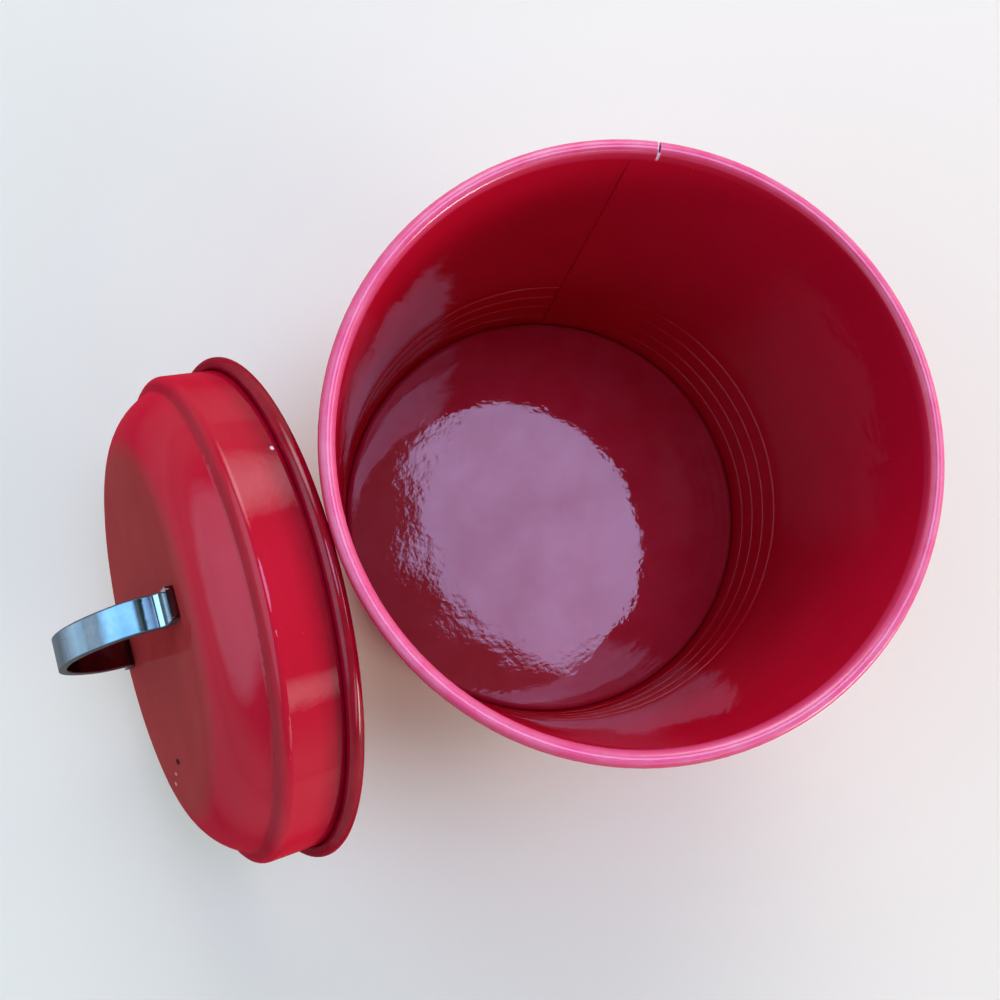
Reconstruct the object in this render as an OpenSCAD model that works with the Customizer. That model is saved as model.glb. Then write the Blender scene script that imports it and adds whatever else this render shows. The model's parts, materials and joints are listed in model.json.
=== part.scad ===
// Tea canister of pressed sheet steel: a ribbed body with a rolled rim and a
// folded-in base, and a stepped lid with a rolled edge and a riveted strap
// handle. The lid is off and leans against the rim.
// Millimetres, +Z up, origin on the floor at the middle of the body.

/* [Body] */
// Diameter over the rolled rim
rim_d = 112; // [90:1:160]
// Height from the floor to the top of the rolled rim
body_h = 101; // [80:1:180]
// Diameter of the roll along the rim
rim_roll_d = 3; // [2.4:0.1:5]
// Thickness of the steel sheet
sheet = 0.5; // [0.3:0.05:0.7]
// Distance round the wall from the lap joint's edge to the gap in the rim
lap_w = 4.6; // [2:0.1:8]
// Length over which the lap joint fades round the wall
lap_fade = 18; // [10:1:30]
// Length over which the lap joint fades out below the rim
lap_top_fade = 8; // [3:0.5:15]
// Step at the edge of the lap joint
lap_step = 0.35; // [0.2:0.05:0.7]
// Direction of the lap joint, seen from above
lap_angle = 90; // [0:5:360]
// Gap in the rim roll where the sheet's ends meet
rim_notch = 0.4; // [0.3:0.1:2]
// Angle by which each roll stays open towards its own sheet
roll_open = 60; // [50:5:90]

/* [Ribs] */
// Number of ribs pressed round the foot of the wall
rib_count = 4; // [1:1:6]
// Height of the lowest rib above the base panel
rib_first = 7; // [4:0.5:12]
// Distance from one rib to the next
rib_pitch = 7; // [4:0.5:10]
// How far a rib stands out of the wall
rib_out = 0.6; // [0.3:0.1:1]
// Radius of a rib's crown
rib_r = 1.5; // [1.2:0.1:2]

/* [Base] */
// Height of the base panel's upper face above the floor
base_lift = 3.4; // [2.5:0.1:8]
// Rounding of the base panel's edge
base_edge_r = 1.5; // [1:0.1:2.2]
// Height of the fold that hooks round the foot of the wall
fold_h = 3.2; // [2:0.1:6]
// Play between the wall and the fold of the base
fold_gap = 0.05; // [0.02:0.01:0.15]

/* [Lid] */
// Diameter over the lid's rolled edge
lid_d = 107; // [88:1:158]
// Diameter of the roll along the lid's edge
lid_roll_d = 3.1; // [2.4:0.1:5]
// Height from the middle of the roll to the top
lid_h = 22; // [19:0.1:30]
// Height of the straight skirt above the middle of the roll
skirt_h = 11.2; // [8:0.1:13]
// Rounding of the skirt's upper edge
edge_r = 1.7; // [1:0.1:3]
// Length of the straight flank above the rounded edge
flank_l = 1.8; // [1:0.1:4]
// Radius of the hollow between the flank and the shoulder
hollow_r = 1.1; // [0.8:0.1:4]
// Angle of the flank's face, from level
flank_face = 64; // [50:1:70]

/* [Lid where it leans] */
// Lean of the lid from upright
lid_lean = 21.5; // [10:0.5:40]
// Direction of the lean, seen from above
lid_turn = 14.9; // [0:0.1:60]
// How far the lid's middle lies to one side
lid_aside = 8.2; // [0:0.1:12]
// Gap left between the lid's roll and the rim
lean_gap = 0.3; // [0.1:0.05:1]

/* [Handle] */
// Width over the handle's legs
handle_span = 51; // [40:1:54]
// Height of the handle above the lid
handle_h = 18.2; // [16:0.1:26]
// Width of the strap
strap_w = 6.4; // [6:0.1:10]
// Thickness of the strap
strap_t = 1.5; // [1.2:0.1:2.2]
// Radius of the arch above each leg
haunch_r = 8; // [6:0.5:12]
// Radius of the bend from leg to foot
foot_bend_r = 1.6; // [1:0.1:3]
// Length of each foot's flat
foot_l = 5.1; // [4.6:0.1:8]
// Distance from each foot's end to the edge of the lid's flat top
foot_in = 2; // [1:0.1:5]
// Rounding of the foot's corners
foot_corner_r = 1; // [0.5:0.1:2]
// Turn of the handle from the way the lid leans
handle_turn = 4; // [0:1:90]

/* [Rivets] */
// Diameter of a rivet's shank
rivet_d = 2.5; // [2:0.1:3]
// Diameter of a rivet's flush head
flush_d = 4; // [3.4:0.1:4.5]
// Depth of a rivet's flush head
flush_h = 0.8; // [0.5:0.1:1]
// Diameter of a rivet's round head inside the lid
button_d = 4.8; // [4:0.1:5.5]
// Height of a rivet's round head inside the lid
button_h = 1.2; // [0.8:0.1:1.6]
// Diameter of the washer under the round head
washer_d = 7; // [6:0.1:9]
// Thickness of the washer
washer_t = 0.6; // [0.4:0.1:1]
// Play between a rivet and its holes, on the radius
rivet_gap = 0.05; // [0.02:0.01:0.15]

/* [Hidden] */
$fn = 96;
per_radian = 180 / PI;
red = [0.72, 0.04, 0.10];
chrome = [0.80, 0.83, 0.87];

// Run-on at the ends of strips, so that neighbours join
join = 0.05;

// Body radii, from the rim inwards
rim_roll_r = rim_roll_d / 2;
rim_mid_r = rim_d / 2 - rim_roll_r;
mouth_r = rim_mid_r - rim_roll_r;
wall_r = mouth_r + sheet;
rim_mid_z = body_h - rim_roll_r;
rib_mid_r = wall_r + rib_out - rib_r;

// Base radii, either side of the foot of the wall
base_r = mouth_r - fold_gap;
fold_r = wall_r + fold_gap;

// Handle arch of three arcs, standing on two bends
leg_r = handle_span / 2;
leg_base = strap_t + foot_bend_r;
rise = handle_h - leg_base;
haunch_x = leg_r - haunch_r;
crown_drop = (haunch_x ^ 2 - (rise - haunch_r) ^ 2) / (2 * (rise - haunch_r));
crown_r = rise + crown_drop;
crown_from = atan2(crown_drop, haunch_x);
foot_from = leg_r + foot_bend_r;
foot_to = foot_from + foot_l;
rivet_x = foot_from + foot_l / 2;

// Lid profile: radius, then height above the middle of the roll. The flat top
// holds the handle, and the shoulder rounds from it to the hollow
lid_roll_r = lid_d / 2 - lid_roll_d / 2;
skirt_r = lid_roll_r - lid_roll_d / 2 + sheet;
edge_c = [skirt_r - edge_r, skirt_h];
flank_low = edge_c + polar(edge_r, flank_face);
flank_high = flank_low + polar(flank_l, flank_face + 90);
hollow_c = flank_high + polar(hollow_r, flank_face);
flat_r = foot_to + foot_in;
hollow_out = hollow_c.x - flat_r;
hollow_down = lid_h - hollow_c.y;
shoulder_r = (hollow_out ^ 2 + hollow_down ^ 2 - hollow_r ^ 2) / (2 * (hollow_down + hollow_r));
shoulder_c = [flat_r, lid_h - shoulder_r];
shoulder_face = atan2(hollow_c.y - shoulder_c.y, hollow_out);
under_top = lid_h - sheet;

// Place of the leaning lid: its roll stands on the floor and its upper edge
// comes to lean_gap from the body
lid_mid_z = lid_roll_r * cos(lid_lean) + lid_roll_d / 2;
upper_arc = [-90:0.5:90];
first_step = 1;
last_step = 0.00001;
lid_away = come_in(rim_d + lid_d, first_step);
lid_place = concat(lid_level(lid_away), lid_mid_z);

function polar(r, a) = [r * cos(a), r * sin(a)];

// Where the middle of the lid's roll lies on the floor plan
function lid_level(away) =
    polar(-away, lid_turn) - polar(lid_aside, lid_turn + 90);

// A point on the roll's middle line, at an angle from its top
function roll_point(away, a) = let (
    up = lid_roll_r * cos(a),
    level = lid_level(away) + polar(up * sin(lid_lean), lid_turn)
        + polar(lid_roll_r * sin(a), lid_turn + 90)
) concat(level, lid_mid_z + up * cos(lid_lean));

// Clear space between a point and the outside of the body
function body_gap(p) = let (
    r = norm([p.x, p.y]),
    to_rim = norm([r - rim_mid_r, p.z - rim_mid_z]) - rim_roll_r
) p.z < rim_mid_z ? min(to_rim, r - wall_r) : to_rim;

// Clear space between the lid's roll and the body
function roll_gap(away) =
    min([for (a = upper_arc) body_gap(roll_point(away, a))]) - lid_roll_d / 2;

// Brings the lid in from afar, by steps that halve as it nears the body
function come_in(away, step) =
    step < last_step ? away
    : roll_gap(away - step) > lean_gap ? come_in(away - step, step)
    : come_in(away, step / 2);

// Part of a flat ring, between two radii and two angles
module arc_strip(centre, r_in, r_out, from, to) {
    far = 2 * r_out;
    run_on = join / r_out * per_radian;
    translate(centre)
        intersection() {
            difference() {
                circle(r_out);
                circle(r_in);
            }
            polygon([
                [0, 0], polar(far, from - run_on),
                polar(far, (from + to) / 2), polar(far, to + run_on)
            ]);
        }
}

// Cut edge of sheet rolled into a tube, open at its inner lower or upper side
module roll_section(centre, d, open_from, open_to) {
    translate(centre)
        difference() {
            circle(d / 2);
            circle(d / 2 - sheet);
            polygon([[0, 0], polar(d, open_from), polar(d, open_to)]);
        }
}

module wall_section() {
    difference() {
        union() {
            translate([mouth_r, sheet])
                square([sheet, rim_mid_z - sheet]);
            intersection() {
                rib_circles(rib_r);
                translate([mouth_r, 0])
                    square([sheet + rib_out, rim_mid_z]);
            }
        }
        rib_circles(rib_r - sheet);
    }
    roll_section([rim_mid_r, rim_mid_z], rim_roll_d, 180, 180 + roll_open);
}

module rib_circles(r) {
    for (i = [0:rib_count - 1])
        translate([rib_mid_r, base_lift + rib_first + i * rib_pitch])
            circle(r);
}

// Sliver inside the wall where one end of the sheet laps the other: it is
// thickest at the edge of the lap and fades round the wall and up to the rim
module lap_strip() {
    fade_a = lap_fade / mouth_r * per_radian;
    shift = lap_step / sin(fade_a);
    far = 2 * rim_d;
    rotate(lap_angle)
        difference() {
            translate([0, 0, base_lift])
                linear_extrude(rim_mid_z - base_lift)
                    intersection() {
                        difference() {
                            circle(mouth_r + sheet / 2);
                            translate(polar(-shift, 90 - fade_a))
                                circle(mouth_r);
                        }
                        polygon([[0, 0], polar(far, -2 * fade_a), polar(far, 0)]);
                    }
            translate([0, 0, rim_mid_z - lap_top_fade])
                cylinder(h = lap_top_fade, r1 = mouth_r - lap_step, r2 = mouth_r + join);
        }
}

module rim_gap() {
    rotate(lap_angle - lap_w / mouth_r * per_radian)
        translate([wall_r, -rim_notch / 2, body_h - rim_roll_d])
            cube([rim_roll_d, rim_notch, rim_roll_d]);
}

module body_wall() {
    color(red) {
        difference() {
            rotate_extrude()
                wall_section();
            rim_gap();
        }
        lap_strip();
    }
}

module base_pan() {
    pan_c = [base_r - base_edge_r, base_lift - base_edge_r];
    color(red)
        rotate_extrude() {
            translate([0, base_lift - sheet])
                square([pan_c.x, sheet]);
            arc_strip(pan_c, base_edge_r - sheet, base_edge_r, 0, 90);
            translate([base_r - sheet, 0])
                square([sheet, pan_c.y]);
            translate([base_r - sheet, 0])
                square([fold_r - base_r + 2 * sheet, sheet]);
            translate([fold_r, 0])
                square([sheet, fold_h]);
        }
}

// Lid section from the top outwards and down to the rolled edge
module lid_section() {
    translate([0, under_top])
        square([flat_r, sheet]);
    arc_strip(shoulder_c, shoulder_r - sheet, shoulder_r, shoulder_face, 90);
    arc_strip(hollow_c, hollow_r, hollow_r + sheet, shoulder_face + 180, flank_face + 180);
    polygon([
        flank_low, flank_high,
        flank_high - polar(sheet, flank_face), flank_low - polar(sheet, flank_face)
    ]);
    arc_strip(edge_c, edge_r - sheet, edge_r, 0, flank_face);
    translate([skirt_r - sheet, 0])
        square([sheet, skirt_h]);
    roll_section([lid_roll_r, 0], lid_roll_d, 180 - roll_open, 180);
}

// Carries its children from the lid's own axis to where the lid leans
module on_lid() {
    translate(lid_place)
        rotate([0, lid_lean - 90, lid_turn])
            children();
}

// Carries its children to one foot of the handle: side 1 is the upper one
module at_foot(side) {
    on_lid()
        rotate(handle_turn)
            translate([side * rivet_x, 0, lid_h])
                children();
}

module rivet_holes() {
    reach = lid_h;
    for (side = [1, -1])
        at_foot(side)
            translate([0, 0, -reach / 2])
                cylinder(h = reach, r = rivet_d / 2 + rivet_gap);
}

module lid_shell() {
    color(red)
        difference() {
            on_lid()
                rotate_extrude()
                    lid_section();
            rivet_holes();
        }
}

module handle_arch() {
    arc_strip([0, leg_base - crown_drop], crown_r - strap_t, crown_r, crown_from, 180 - crown_from);
    for (side = [0, 1])
        mirror([side, 0])
            handle_leg();
}

module handle_leg() {
    arc_strip([haunch_x, leg_base], haunch_r - strap_t, haunch_r, 0, crown_from);
    arc_strip([foot_from, leg_base], foot_bend_r, foot_bend_r + strap_t, 180, 270);
    translate([foot_from, 0])
        square([foot_l, strap_t]);
}

// Plan of the strap, with the corners of both feet rounded
module strap_plan() {
    inner_x = foot_to - foot_corner_r;
    inner_y = strap_w / 2 - foot_corner_r;
    square([2 * inner_x, strap_w], center = true);
    square([2 * foot_to, 2 * inner_y], center = true);
    for (x = [-inner_x, inner_x], y = [-inner_y, inner_y])
        translate([x, y])
            circle(foot_corner_r);
}

module handle_strap() {
    color(chrome)
        difference() {
            on_lid()
                rotate(handle_turn)
                    translate([0, 0, lid_h])
                        intersection() {
                            rotate([90, 0, 0])
                                linear_extrude(strap_w, center = true)
                                    handle_arch();
                            linear_extrude(handle_h)
                                strap_plan();
                        }
            rivet_holes();
            for (side = [1, -1])
                at_foot(side)
                    flush_head(rivet_gap);
        }
}

// Countersunk head level with the foot's upper face
module flush_head(gap) {
    translate([0, 0, strap_t - flush_h])
        cylinder(h = flush_h, r1 = rivet_d / 2 + gap, r2 = flush_d / 2 + gap);
}

module rivet(side) {
    tail_z = -sheet - washer_t;
    color(chrome)
        at_foot(side) {
            translate([0, 0, tail_z])
                cylinder(h = strap_t - flush_h - tail_z, d = rivet_d);
            flush_head(0);
            translate([0, 0, tail_z])
                button_head();
        }
}

// Round head below the washer, a slice of a ball
module button_head() {
    ball_r = ((button_d / 2) ^ 2 + button_h ^ 2) / (2 * button_h);
    intersection() {
        translate([0, 0, ball_r - button_h])
            sphere(ball_r);
        translate([0, 0, -button_h])
            cylinder(h = button_h, d = button_d);
    }
}

module washer(side) {
    color(chrome)
        at_foot(side)
            translate([0, 0, -sheet - washer_t])
                difference() {
                    cylinder(h = washer_t, d = washer_d);
                    cylinder(h = washer_t, r = rivet_d / 2 + rivet_gap);
                }
}

module rivet_upper() {
    rivet(1);
}

module rivet_lower() {
    rivet(-1);
}

module washer_upper() {
    washer(1);
}

module washer_lower() {
    washer(-1);
}

body_wall();
base_pan();
lid_shell();
handle_strap();
rivet_upper();
rivet_lower();
washer_upper();
washer_lower();
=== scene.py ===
import json
import math
from typing import NamedTuple

import bpy
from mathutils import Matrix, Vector

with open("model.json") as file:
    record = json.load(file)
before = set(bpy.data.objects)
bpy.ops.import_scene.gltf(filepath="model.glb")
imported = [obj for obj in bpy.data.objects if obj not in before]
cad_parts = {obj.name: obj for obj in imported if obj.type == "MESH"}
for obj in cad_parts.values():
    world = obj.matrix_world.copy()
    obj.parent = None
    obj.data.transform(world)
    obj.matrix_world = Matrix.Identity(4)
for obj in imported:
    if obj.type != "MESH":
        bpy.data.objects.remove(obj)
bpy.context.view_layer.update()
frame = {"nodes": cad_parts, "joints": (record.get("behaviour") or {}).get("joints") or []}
nodes = frame["nodes"]


class Noise(NamedTuple):
    """A noise texture: features per metre, octaves, and how much each octave adds."""

    scale: float
    detail: float = 3.0
    roughness: float = 0.5


class Ramp(NamedTuple):
    """Goes from start to end as a value goes from low to high, and is level beyond them."""

    low: float
    high: float
    start: float = 0.0
    end: float = 1.0


class Band(NamedTuple):
    """1 between low and high, fading to 0 over the length soft outside them."""

    low: float
    high: float
    soft: float


class Spot(NamedTuple):
    """A ragged spot: its middle, its half length along each axis, and its colour."""

    middle: tuple
    size: tuple
    colour: tuple


class Softbox(NamedTuple):
    """An area lamp; soft is the share of its half width over which it fades at the edge."""

    name: str
    place: tuple
    target: tuple
    size: tuple
    radiance: float
    colour: tuple
    soft: float


# Lengths are in metres, and colours are linear red, green, blue and alpha
WHITE = (1, 1, 1, 1)

# Camera at the photograph's viewpoint; its turn is in radians
CAMERA_PLACE = (-0.0474232, -0.0346938, 0.2684582)
CAMERA_TURN = (0.1241, -0.0916, 0.0)
CAMERA_CLIP = (0.01, 20.0)
SENSOR_MM = 36.0
IMAGE_PX = 1000.0
FOCAL_PX = 1000.0
CENTRE_PX = (458.25, 516.6)

# The leaning lid: the middle of its rolled edge, and its own axes
LID_PLACE = Vector((-0.0716872, -0.0275598, 0.0498852))
LID_OUT = Vector(frame["joints"][0]["axis"]).normalized()
LID_ACROSS = Vector((LID_OUT.y, -LID_OUT.x, 0)).normalized()
LID_UP = LID_ACROSS.cross(LID_OUT)

# The handle: its turn on the lid, and a point in the middle of its loop
STRAP_TURN = math.radians(4.0)
LOOP_HEIGHT = 0.027
LOOP_MIDDLE = LID_PLACE + LOOP_HEIGHT * LID_OUT

# Red paint, its pale specks, and its gloss, which lies in a clear coat
PAINT_NOISE = Noise(45.0, 4.0)
PAINT_DEEP = (0.52, 0.003, 0.020, 1)
PAINT_LIGHT = (0.64, 0.006, 0.034, 1)
SPECK_NOISE = Noise(2600.0, 2.0)
SPECK_SHARE = Ramp(0.74, 0.78, 0.0, 0.35)
SPECK_PALE = (0.70, 0.25, 0.28, 1)
PAINT_SMEAR = Noise(140.0, 5.0, 0.65)
PAINT_ROUGH = Ramp(0.3, 0.75, 0.05, 0.14)
FACING_BLEND = 0.5
FACING_LOW, FACING_HIGH = 0.1, 0.7
HAZE_NOISE = Noise(65.0, 5.0, 0.6)
HAZE_SHINE = Ramp(0.3, 0.65, 0.75, 1.0)
WAVE_NOISE, WAVE_DEPTH = Noise(40.0, 1.0), 0.0003
PEEL_NOISE, PEEL_DEPTH = Noise(420.0, 2.0), 0.000024
COAT_ROUGH = 0.03
COAT_IOR = 1.6
FULL_SHINE = 1.0

# The rim's pale pink is a painted reflection of light from one side, by radius: on that side of
# the canister it covers the roll's outer half, and on the other side its inner half
RIM_HEIGHT = Ramp(0.0980, 0.0990)
RIM_OUTER_HALF = Ramp(0.0531, 0.0547)
RIM_INNER_HALF = Ramp(0.0561, 0.0547)
RIM_LIT_SIDE = (0.766, 0.643, 0.0)
RIM_RADIUS = 0.0545
RIM_REFLECTION_PINK = (0.95, 0.11, 0.28, 1)
# Rubbed paint on the roll's crest, which is also a painted highlight, laid only where the rim's
# painted reflection lies
RUB_HIGHLIGHT_NOISE = Noise(160.0, 4.0, 0.6)
RUB_HIGHLIGHT_SHARE = Ramp(0.35, 0.7, 0.0, 0.4)
RUB_HIGHLIGHT_HEIGHT = Ramp(0.1000, 0.1009)
RUB_HIGHLIGHT_PALE = (0.95, 0.40, 0.55, 1)

# The nick where the rim's roll is open
NICK_X = Band(0.0044, 0.0048, 0.0001)
NICK_Y = Ramp(0.0, 0.01)
NICK_HEIGHT = Ramp(0.0985, 0.0990)
NICK_PALE = (0.90, 0.62, 0.80, 1)

# The wall's outside, with worn crowns on its ribs, and the dusty ribs inside
OUTER_FACING = Ramp(-0.002, 0.002)
OUTER_HEIGHT = Ramp(0.0975, 0.0965)
WORN_NOISE = Noise(420.0, 5.0, 0.7)
WORN_SHARE = Ramp(0.52, 0.68, 0.0, 0.5)
WORN_RADIUS = Ramp(0.0538, 0.0541)
WORN_RED = (0.78, 0.16, 0.17, 1)
DUSTY_HEIGHT = Band(0.007, 0.034, 0.004)
DULL_SHINE = Ramp(0.0, 1.0, FULL_SHINE, 0.38)

# Dust on the base
DUST_NOISE = Noise(90.0, 5.0, 0.6)
DUST_SHARE = Ramp(0.3, 0.7, 0.03, 0.09)
DUST_PALE = (0.70, 0.32, 0.52, 1)

# The lid's flat top, painted brown as a painted reflection of its surroundings, and painted
# shade low on its skirt and in its hollow
TOP_NOISE = Noise(70.0, 4.0, 0.6)
TOP_HEIGHT = Ramp(0.0208, 0.0219)
TOP_REFLECTION_DEEP = (0.36, 0.026, 0.026, 1)
TOP_REFLECTION_LIGHT = (0.46, 0.046, 0.044, 1)
SHADE_NOISE = Noise(300.0, 4.0, 0.6)
SHADE_SHARE = Ramp(0.2, 0.8, 0.55, 1.0)
SHADE_HEIGHT = Ramp(0.0062, 0.0014)
HOLLOW_HEIGHT = Band(0.0131, 0.0135, 0.0005)
HOLLOW_SHARE = 0.6
SHADE_RED = (0.24, 0.001, 0.012, 1)

# Chips in the lid's paint, in the lid's axes
CHIP_NOISE = Noise(1500.0, 2.0)
CHIP_RAGGED = Ramp(0.0, 1.0, -0.35, 0.35)
SPOT_EDGE = Ramp(1.0, 0.75)
CHIP_DARK = (0.05, 0.004, 0.006, 1)
CHIP_PALE = (0.60, 0.28, 0.26, 1)
CHIP_BRIGHT = (0.95, 0.75, 0.85, 1)
LID_CHIPS = (
    Spot((-0.0015, -0.0269, 0.022), (0.0022, 0.0007, 0.001), CHIP_DARK),
    Spot((-0.0068, -0.0295, 0.022), (0.0012, 0.0004, 0.001), CHIP_PALE),
    Spot((-0.0094, -0.0317, 0.022), (0.0012, 0.0005, 0.001), CHIP_PALE),
    Spot((0.0449, 0.0239, 0.0026), (0.0004, 0.0006, 0.0004), CHIP_BRIGHT),
)

# Plate on the handle, with lilac patches and scratches along it
PLATE_NOISE = Noise(220.0, 5.0, 0.7)
PLATE_SHARE = Ramp(0.35, 0.65)
PLATE_DEEP = (0.29, 0.45, 0.65, 1)
PLATE_LIGHT = (0.42, 0.58, 0.75, 1)
PLATE_ROUGH = Ramp(0.3, 0.8, 0.05, 0.16)
PLATE_SPECULAR = 0.1
PLATE_PEEL_NOISE, PLATE_PEEL_DEPTH = Noise(500.0, 2.0), 0.00002
LILAC_NOISE = Noise(130.0, 2.0)
LILAC_SHARE = Ramp(0.52, 0.60, 0.0, 0.5)
LILAC = (0.42, 0.50, 0.76, 1)
SCRATCH_STRETCH = (160.0, 1500.0, 160.0)
SCRATCH_NOISE = Noise(1.0, 2.0)
SCRATCH_SHARE = Ramp(0.70, 0.74)
SCRATCH_DARK = (0.16, 0.22, 0.26, 1)

# Tarnish on the handle's legs, a painted highlight on its bends, and its dark feet, by height
# above the lid's edge; and painted shade with a painted reflection of the red lid inside its
# loop
LEG_HEIGHT = Band(0.0249, 0.0271, 0.0004)
LEG_DEEP = (0.02, 0.045, 0.045, 1)
LEG_LIGHT = (0.045, 0.09, 0.085, 1)
LEG_TOP_HEIGHT = Ramp(0.0254, 0.0266)
LEG_TOP = (0.075, 0.16, 0.155, 1)
BEND_HEIGHT = Band(0.0235, 0.0244, 0.0002)
BEND_HIGHLIGHT_PALE = (0.80, 0.94, 1.0, 1)
FOOT_HEIGHT = Ramp(0.02375, 0.02355)
FOOT_DARK = (0.14, 0.05, 0.055, 1)
INSIDE_FACING = Ramp(0.0, -0.002)
INSIDE_SHADE_RED = (0.16, 0.06, 0.07, 1)

# The handle's crown and edges, where the plate is worn dull
CROWN_HEIGHT = Ramp(0.0376, 0.0397, 0.0, 0.9)
EDGE_SIDE = Ramp(0.00285, 0.0031)
DULL_DARK = (0.06, 0.055, 0.055, 1)
DULL_ROUGH = 0.5
DULL_METAL = Ramp(0.0, 1.0, 1.0, 0.1)

# Plain steel of the washers
STEEL_NOISE = Noise(300.0, 5.0, 0.7)
STEEL_DEEP = (0.42, 0.41, 0.39, 1)
STEEL_LIGHT = (0.60, 0.59, 0.57, 1)
STEEL_ROUGH = Ramp(0.3, 0.8, 0.28, 0.45)

# The floor, which blends into the pale world in the distance
HORIZON = 0.6
FLOOR_SIZE = 6.0
FLOOR_PLACE = (0, 0, -0.0002)
FLOOR_NOISE = Noise(3.0)
FLOOR_DEEP = (0.95, 0.905, 0.765, 1)
FLOOR_LIGHT = (0.97, 0.925, 0.785, 1)
FLOOR_ROUGH = 0.6
FLOOR_SPECULAR = 0.2
FLOOR_FAR = Ramp(0.5, 1.6)
WORLD_STRENGTH = Ramp(0.1, 0.45, HORIZON, 0.16)

# Lamps
LAMP_MIDDLE = (0.5, 0.5, 0.0)
LAMP_HALF = 0.5
SOFTBOXES = (
    Softbox("back_key", (-0.036, 1.024, 0.80), (0, 0, 0.06),
            (1.16, 1.16), 5.0, (0.96, 0.92, 1.0), 0.7),
    Softbox("top", (0.21, 0.14, 1.0), (0.21, 0.14, 0),
            (0.43, 0.42), 6.0, (0.57, 0.53, 1.0), 0.1),
    Softbox("strip", (0.85, 0.17, 0.60), (-0.05, 0, 0.1),
            (0.7, 0.30), 5.0, (1.0, 0.93, 1.0), 0.5),
    Softbox("side_fill", (0.88, -0.59, 0.25), (-0.06, -0.05, 0.06),
            (0.7, 0.36), 14.0, (1.0, 0.97, 0.95), 0.6),
    Softbox("left_fill", (-0.79, -0.07, 0.77), (-0.08, -0.03, 0.06),
            (1.9, 1.4), 1.47, (0.38, 0.74, 1.0), 0.3),
    Softbox("front_fill", (0.50, -0.80, 0.72), (-0.06, -0.03, 0.06),
            (1.0, 0.36), 2.4, (1.0, 0.95, 1.0), 0.6),
)

# Places of the colour sockets on a Mix node
MIX_SHARE, MIX_FIRST, MIX_SECOND, MIX_RESULT = 0, 6, 7, 2


class Graph:
    """A material's, world's or lamp's node tree, with short calls to add and link nodes."""

    def __init__(self, owner):
        owner.use_nodes = True
        self.tree = owner.node_tree
        self.tree.nodes.clear()

    def add(self, kind, inputs=None, **settings):
        node = self.tree.nodes.new(kind)
        for name, value in settings.items():
            setattr(node, name, value)
        for name, value in (inputs or {}).items():
            self.set(node.inputs[name], value)
        return node

    def set(self, socket, value):
        if isinstance(value, bpy.types.NodeSocket):
            self.tree.links.new(value, socket)
        else:
            socket.default_value = value

    def math(self, operation, a, b=0.0):
        return self.add("ShaderNodeMath", {0: a, 1: b}, operation=operation).outputs[0]

    def times(self, a, b):
        return self.math("MULTIPLY", a, b)

    def larger(self, a, b):
        return self.math("MAXIMUM", a, b)

    def vector(self, operation, a, b=(0, 0, 0), output="Vector"):
        node = self.add("ShaderNodeVectorMath", {0: a, 1: b}, operation=operation)
        return node.outputs[output]

    def dot(self, a, b):
        return self.vector("DOT_PRODUCT", a, b, "Value")

    def length(self, vector):
        return self.vector("LENGTH", vector, output="Value")

    def coordinate(self, kind):
        return self.add("ShaderNodeTexCoord").outputs[kind]

    def split(self, vector):
        return self.add("ShaderNodeSeparateXYZ", {0: vector}).outputs

    def join(self, x, y, z):
        return self.add("ShaderNodeCombineXYZ", {0: x, 1: y, 2: z}).outputs[0]

    def noise(self, place, noise):
        inputs = {
            "Vector": place,
            "Scale": noise.scale,
            "Detail": noise.detail,
            "Roughness": noise.roughness,
        }
        return self.add("ShaderNodeTexNoise", inputs).outputs["Fac"]

    def ramp(self, value, ramp):
        inputs = {
            "Value": value,
            "From Min": ramp.low,
            "From Max": ramp.high,
            "To Min": ramp.start,
            "To Max": ramp.end,
        }
        return self.add("ShaderNodeMapRange", inputs).outputs["Result"]

    def patches(self, place, noise, ramp):
        return self.ramp(self.noise(place, noise), ramp)

    def band(self, value, band):
        rise = self.ramp(value, Ramp(band.low - band.soft, band.low))
        fall = self.ramp(value, Ramp(band.high + band.soft, band.high))
        return self.times(rise, fall)

    def spot(self, place, spot, ragged):
        """1 inside the spot, 0 outside it; ragged moves its edge in and out."""
        away = self.vector("DIVIDE", self.vector("SUBTRACT", place, spot.middle), spot.size)
        return self.ramp(self.math("ADD", self.length(away), ragged), SPOT_EDGE)

    def mix(self, share, first, second):
        node = self.add("ShaderNodeMix", data_type="RGBA")
        self.set(node.inputs[MIX_SHARE], share)
        self.set(node.inputs[MIX_FIRST], first)
        self.set(node.inputs[MIX_SECOND], second)
        return node.outputs[MIX_RESULT]

    def bump(self, height, depth, normal=None):
        node = self.add("ShaderNodeBump", {"Height": height, "Distance": depth})
        if normal is not None:
            self.set(node.inputs["Normal"], normal)
        return node.outputs["Normal"]

    def lid_axes(self, place):
        """The place measured from the lid's middle: uphill, across and outwards."""
        away = self.vector("SUBTRACT", place, LID_PLACE)
        return self.join(*(self.dot(away, axis) for axis in (LID_UP, LID_ACROSS, LID_OUT)))

    def seen_directly(self):
        """1 for what the camera sees, straight, mirrored or through glass; 0 for other light."""
        path = self.add("ShaderNodeLightPath").outputs
        mirrored = self.larger(path["Is Glossy Ray"], path["Is Transmission Ray"])
        return self.larger(path["Is Camera Ray"], mirrored)


def make_camera():
    data = bpy.data.cameras.new("camera")
    data.sensor_width = SENSOR_MM
    data.lens = SENSOR_MM * FOCAL_PX / IMAGE_PX
    data.shift_x = 0.5 - CENTRE_PX[0] / IMAGE_PX
    data.shift_y = CENTRE_PX[1] / IMAGE_PX - 0.5
    data.clip_start, data.clip_end = CAMERA_CLIP
    camera = bpy.data.objects.new("camera", data)
    camera.location = CAMERA_PLACE
    camera.rotation_euler = CAMERA_TURN
    bpy.context.scene.collection.objects.link(camera)
    bpy.context.scene.camera = camera


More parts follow.
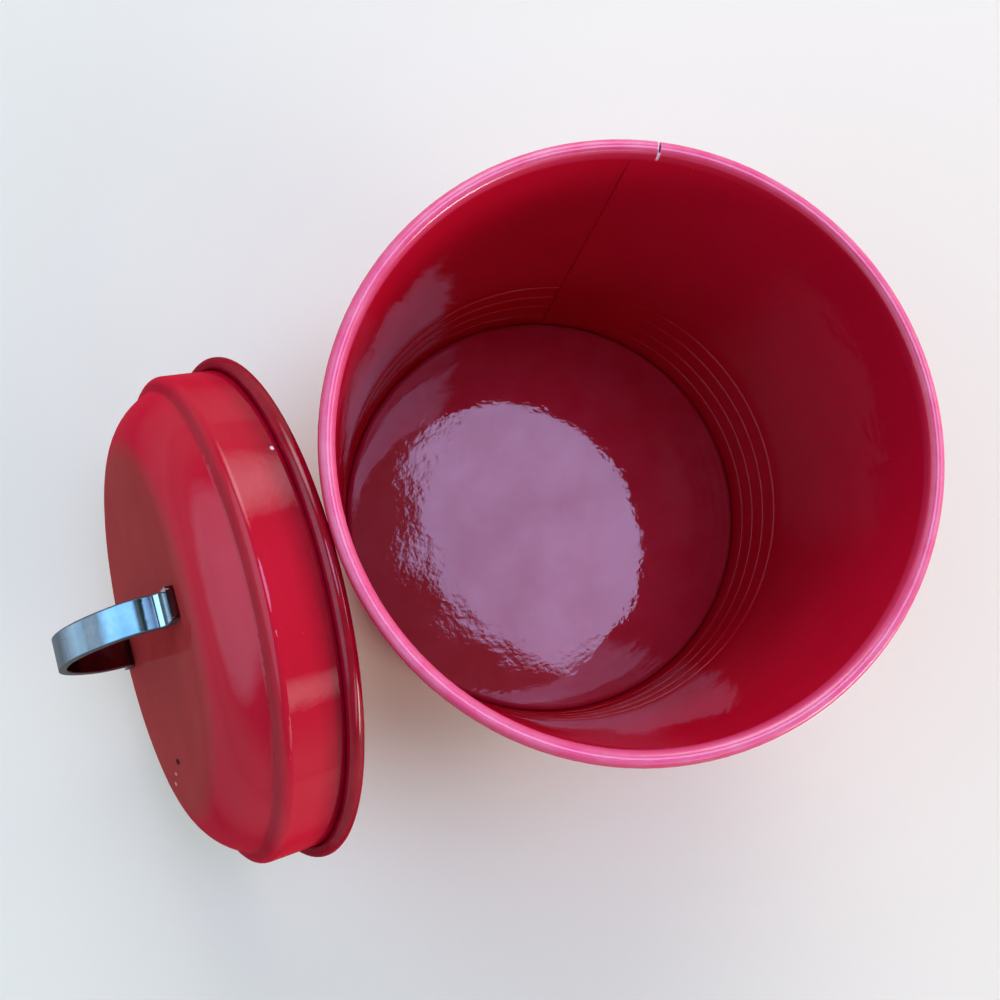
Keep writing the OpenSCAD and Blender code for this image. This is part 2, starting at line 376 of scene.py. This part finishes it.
def new_graph(name):
    material = bpy.data.materials.new(name)
    return material, Graph(material)


def surface(graph, inputs):
    shader = graph.add("ShaderNodeBsdfPrincipled", inputs)
    graph.add("ShaderNodeOutputMaterial", {"Surface": shader.outputs[0]})


def red_paint(name, gloss, edge_gloss, marks):
    """Glossy paint; marks adds a piece's own colours, and says where it shines less."""
    material, g = new_graph(name)
    place = g.coordinate("Object")
    colour = g.mix(g.noise(place, PAINT_NOISE), PAINT_DEEP, PAINT_LIGHT)
    colour, shine = marks(g, place, colour)
    colour = g.mix(g.patches(place, SPECK_NOISE, SPECK_SHARE), colour, SPECK_PALE)
    facing = g.add("ShaderNodeLayerWeight", {"Blend": FACING_BLEND}).outputs["Facing"]
    turned_gloss = g.ramp(facing, Ramp(FACING_LOW, FACING_HIGH, gloss, edge_gloss))
    shine = g.times(shine, turned_gloss)
    shine = g.times(shine, g.patches(place, HAZE_NOISE, HAZE_SHINE))
    wave = g.bump(g.noise(place, WAVE_NOISE), WAVE_DEPTH)
    peel = g.bump(g.noise(place, PEEL_NOISE), PEEL_DEPTH, normal=wave)
    surface(g, {
        "Base Color": colour,
        "Roughness": g.patches(place, PAINT_SMEAR, PAINT_ROUGH),
        "Specular IOR Level": 0.0,
        "Normal": peel,
        "Coat Weight": shine,
        "Coat Roughness": COAT_ROUGH,
        "Coat IOR": COAT_IOR,
        "Coat Normal": peel,
    })
    return material


def body_marks(g, place, colour):
    """The rim's painted reflection, with rubbed paint and a painted highlight on its crest, and
    its nick, the worn ribs outside, and less shine on ribs and outside.
    """
    x, y, z = g.split(place)
    from_axis = g.join(x, y, 0.0)
    radius = g.length(from_axis)
    outer_half = g.ramp(radius, RIM_OUTER_HALF)
    inner_half = g.ramp(radius, RIM_INNER_HALF)
    # Painted reflection: pink on the half of the roll that faces the lit side
    rim = g.ramp(g.dot(place, RIM_LIT_SIDE), Ramp(-RIM_RADIUS, RIM_RADIUS, inner_half, outer_half))
    rim = g.times(rim, g.ramp(z, RIM_HEIGHT))
    colour = g.mix(rim, colour, RIM_REFLECTION_PINK)
    # Rubbed paint and a painted highlight on the roll's crest
    rub_highlight = g.times(g.patches(place, RUB_HIGHLIGHT_NOISE, RUB_HIGHLIGHT_SHARE), rim)
    rub_highlight = g.times(rub_highlight, g.ramp(z, RUB_HIGHLIGHT_HEIGHT))
    colour = g.mix(rub_highlight, colour, RUB_HIGHLIGHT_PALE)
    nick = g.times(g.band(x, NICK_X), g.ramp(z, NICK_HEIGHT))
    nick = g.times(nick, g.ramp(y, NICK_Y))
    colour = g.mix(nick, colour, NICK_PALE)
    outer = g.ramp(g.dot(from_axis, g.coordinate("Normal")), OUTER_FACING)
    outer = g.times(outer, g.ramp(z, OUTER_HEIGHT))
    worn = g.times(g.patches(place, WORN_NOISE, WORN_SHARE), g.ramp(radius, WORN_RADIUS))
    colour = g.mix(g.times(worn, outer), colour, WORN_RED)
    dull = g.larger(g.band(z, DUSTY_HEIGHT), outer)
    return colour, g.ramp(dull, DULL_SHINE)


def base_marks(g, place, colour):
    """A thin haze of dust in the canister."""
    return g.mix(g.patches(place, DUST_NOISE, DUST_SHARE), colour, DUST_PALE), FULL_SHINE


def lid_marks(g, place, colour):
    """The lid's flat top, painted browner as a painted reflection, painted shade low on the
    skirt and in the hollow, and its chips.
    """
    lid = g.lid_axes(place)
    _, _, out = g.split(lid)
    # Painted reflection: the flat top is painted brown
    top = g.mix(g.noise(lid, TOP_NOISE), TOP_REFLECTION_DEEP, TOP_REFLECTION_LIGHT)
    colour = g.mix(g.ramp(out, TOP_HEIGHT), colour, top)
    # Painted shade, darker low on the skirt next to the roll and in the hollow
    shade_patches = g.patches(lid, SHADE_NOISE, SHADE_SHARE)
    low = g.times(g.ramp(out, SHADE_HEIGHT), shade_patches)
    hollow = g.times(g.times(g.band(out, HOLLOW_HEIGHT), shade_patches), HOLLOW_SHARE)
    colour = g.mix(g.larger(low, hollow), colour, SHADE_RED)
    ragged = g.patches(lid, CHIP_NOISE, CHIP_RAGGED)
    for chip in LID_CHIPS:
        colour = g.mix(g.spot(lid, chip, ragged), colour, chip.colour)
    return colour, FULL_SHINE


def bright_plate(name):
    """Blue-grey plate of the handle and its rivets, in the handle's own axes, with a painted
    highlight on its bends and painted shade inside its loop.
    """
    material, g = new_graph(name)
    place = g.coordinate("Object")
    turn = {"Vector": g.lid_axes(place), "Angle": -STRAP_TURN}
    strap = g.add("ShaderNodeVectorRotate", turn, rotation_type="Z_AXIS").outputs[0]
    _, side, out = g.split(strap)
    smear = g.noise(strap, PLATE_NOISE)
    smear_share = g.ramp(smear, PLATE_SHARE)
    colour = g.mix(smear_share, PLATE_DEEP, PLATE_LIGHT)
    colour = g.mix(g.patches(strap, LILAC_NOISE, LILAC_SHARE), colour, LILAC)
    stretched = g.vector("MULTIPLY", strap, SCRATCH_STRETCH)
    colour = g.mix(g.patches(stretched, SCRATCH_NOISE, SCRATCH_SHARE), colour, SCRATCH_DARK)
    tarnish = g.mix(smear_share, LEG_DEEP, LEG_LIGHT)
    tarnish = g.mix(g.ramp(out, LEG_TOP_HEIGHT), tarnish, LEG_TOP)
    colour = g.mix(g.band(out, LEG_HEIGHT), colour, tarnish)
    # Painted highlight on the bends
    colour = g.mix(g.band(out, BEND_HEIGHT), colour, BEND_HIGHLIGHT_PALE)
    colour = g.mix(g.ramp(out, FOOT_HEIGHT), colour, FOOT_DARK)
    edge = g.ramp(g.math("ABSOLUTE", side), EDGE_SIDE)
    dull = g.larger(edge, g.ramp(out, CROWN_HEIGHT))
    colour = g.mix(dull, colour, DULL_DARK)
    # Painted shade and a painted reflection of the red lid on the faces inside the loop
    from_loop = g.vector("SUBTRACT", place, LOOP_MIDDLE)
    inside = g.ramp(g.dot(from_loop, g.coordinate("Normal")), INSIDE_FACING)
    surface(g, {
        "Base Color": g.mix(inside, colour, INSIDE_SHADE_RED),
        "Metallic": g.ramp(dull, DULL_METAL),
        "Roughness": g.larger(g.ramp(smear, PLATE_ROUGH), g.times(dull, DULL_ROUGH)),
        "Specular IOR Level": PLATE_SPECULAR,
        "Normal": g.bump(g.noise(strap, PLATE_PEEL_NOISE), PLATE_PEEL_DEPTH),
    })
    return material


def plain_steel(name):
    material, g = new_graph(name)
    smear = g.noise(g.coordinate("Object"), STEEL_NOISE)
    surface(g, {
        "Base Color": g.mix(smear, STEEL_DEEP, STEEL_LIGHT),
        "Metallic": 1.0,
        "Roughness": g.ramp(smear, STEEL_ROUGH),
    })
    return material


def dress(node, material):
    slots = nodes[node].data.materials
    slots.clear()
    slots.append(material)


def make_floor():
    bpy.ops.mesh.primitive_plane_add(size=FLOOR_SIZE, location=FLOOR_PLACE)
    floor = bpy.context.object
    floor.name = "floor"
    material, g = new_graph("floor")
    place = g.coordinate("Object")
    paint = g.add("ShaderNodeBsdfPrincipled", {
        "Base Color": g.mix(g.noise(place, FLOOR_NOISE), FLOOR_DEEP, FLOOR_LIGHT),
        "Roughness": FLOOR_ROUGH,
        "Specular IOR Level": FLOOR_SPECULAR,
    })
    glow = g.add("ShaderNodeEmission", {"Color": WHITE, "Strength": HORIZON})
    share = g.times(g.ramp(g.length(place), FLOOR_FAR), g.seen_directly())
    shader = g.add("ShaderNodeMixShader", {0: share, 1: paint.outputs[0], 2: glow.outputs[0]})
    g.add("ShaderNodeOutputMaterial", {"Surface": shader.outputs[0]})
    floor.data.materials.append(material)


def make_world():
    world = bpy.data.worlds.new("studio")
    bpy.context.scene.world = world
    g = Graph(world)
    _, _, height = g.split(g.coordinate("Generated"))
    strength = g.ramp(height, WORLD_STRENGTH)
    light = g.add("ShaderNodeBackground", {"Color": WHITE, "Strength": strength})
    g.add("ShaderNodeOutputWorld", {"Surface": light.outputs[0]})


def make_softbox(box):
    width, height = box.size
    data = bpy.data.lights.new(box.name, "AREA")
    data.shape = "RECTANGLE"
    data.size, data.size_y = width, height
    data.energy = math.pi * width * height * box.radiance
    data.color = box.colour
    g = Graph(data)
    across = g.add("ShaderNodeNewGeometry").outputs["Parametric"]
    far = g.vector("DISTANCE", across, LAMP_MIDDLE, "Value")
    glow = g.ramp(far, Ramp(LAMP_HALF, LAMP_HALF * (1.0 - box.soft)))
    light = g.add("ShaderNodeEmission", {"Strength": glow})
    g.add("ShaderNodeOutputLight", {"Surface": light.outputs[0]})
    lamp = bpy.data.objects.new(box.name, data)
    lamp.location = box.place
    aim = Vector(box.target) - Vector(box.place)
    lamp.rotation_euler = aim.to_track_quat("-Z", "Y").to_euler()
    lamp.visible_camera = False
    bpy.context.scene.collection.objects.link(lamp)


make_camera()
make_floor()
make_world()
for box in SOFTBOXES:
    make_softbox(box)

body_paint = red_paint("red_paint_body_wall", gloss=1.0, edge_gloss=0.45, marks=body_marks)
base_paint = red_paint("red_paint_base_pan", gloss=1.0, edge_gloss=0.5, marks=base_marks)
lid_paint = red_paint("red_paint_lid_shell", gloss=0.85, edge_gloss=0.05, marks=lid_marks)
dress("body_wall", body_paint)
dress("base_pan", base_paint)
dress("lid_shell", lid_paint)
for node in ("handle_strap", "rivet_upper", "rivet_lower"):
    dress(node, bright_plate("bright_plate_" + node))
for node in ("washer_upper", "washer_lower"):
    dress(node, plain_steel("plain_steel_" + node))

bpy.context.scene.view_settings.view_transform = "Standard"
